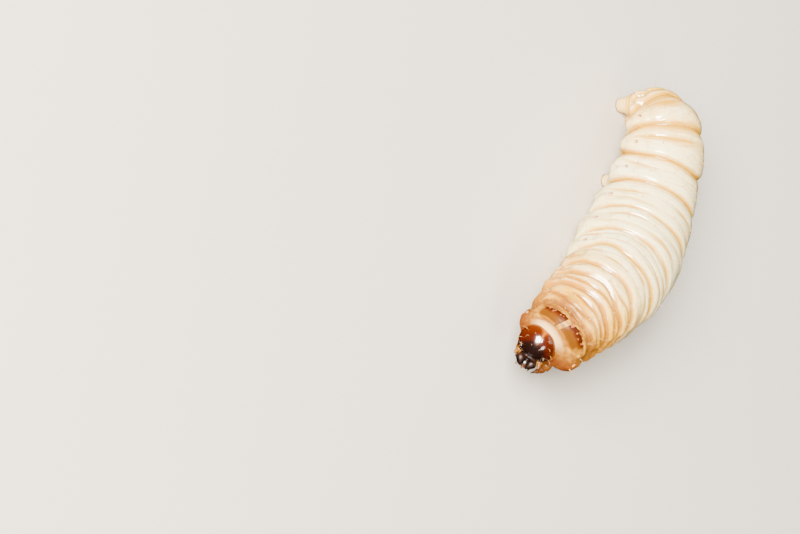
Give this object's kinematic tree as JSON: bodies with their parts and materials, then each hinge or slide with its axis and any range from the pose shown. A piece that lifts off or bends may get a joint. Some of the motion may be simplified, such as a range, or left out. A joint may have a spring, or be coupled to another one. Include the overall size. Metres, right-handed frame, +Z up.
{
  "type": "wax moth larva",
  "caption": "Pale ringed moth larva with its raised front turned to one side, a glossy chestnut head, amber neck plates, short jointed legs and stubby fleshy feet.",
  "frame": {"origin": "on the floor, under the middle of the larva's box", "axes": "+Z up, the tail end towards +Y and the head towards -Y, the animal's left side towards +X"},
  "size_m": [0.0092, 0.019, 0.0059],
  "materials": {
    "skin": "waxy ivory skin, soft gloss, amber in the folds",
    "neck_plates": "thin amber horn, glossy, dark brown along the rear edge",
    "head_horn": "polished chestnut horn",
    "dark_horn": "black horn, glossy",
    "pale_horn": "straw-coloured thin horn"
  },
  "bodies": {
    "root": {"head": "head_horn", "labrum": "dark_horn", "mandible_left": "dark_horn", "mandible_right": "dark_horn", "labium": "head_horn", "antenna_left": "pale_horn", "antenna_right": "pale_horn", "eyes_left": "dark_horn", "eyes_right": "dark_horn", "prothorax": "skin", "mesothorax": "skin", "metathorax": "skin", "abdomen_1": "skin", "abdomen_2": "skin", "abdomen_3": "skin", "abdomen_4": "skin", "abdomen_5": "skin", "abdomen_6": "skin", "abdomen_7": "skin", "abdomen_8": "skin", "abdomen_9": "skin", "abdomen_10": "skin", "shield_left": "neck_plates", "shield_right": "neck_plates", "anal_plate": "pale_horn", "leg_left_1": "pale_horn", "leg_right_1": "pale_horn", "leg_left_2": "pale_horn", "leg_right_2": "pale_horn", "leg_left_3": "pale_horn", "leg_right_3": "pale_horn", "proleg_left_3": "skin", "proleg_right_3": "skin", "proleg_left_4": "skin", "proleg_right_4": "skin", "proleg_left_5": "skin", "proleg_right_5": "skin", "proleg_left_6": "skin", "proleg_right_6": "skin", "anal_proleg_left": "skin", "anal_proleg_right": "skin"}
  },
  "joints": []
}
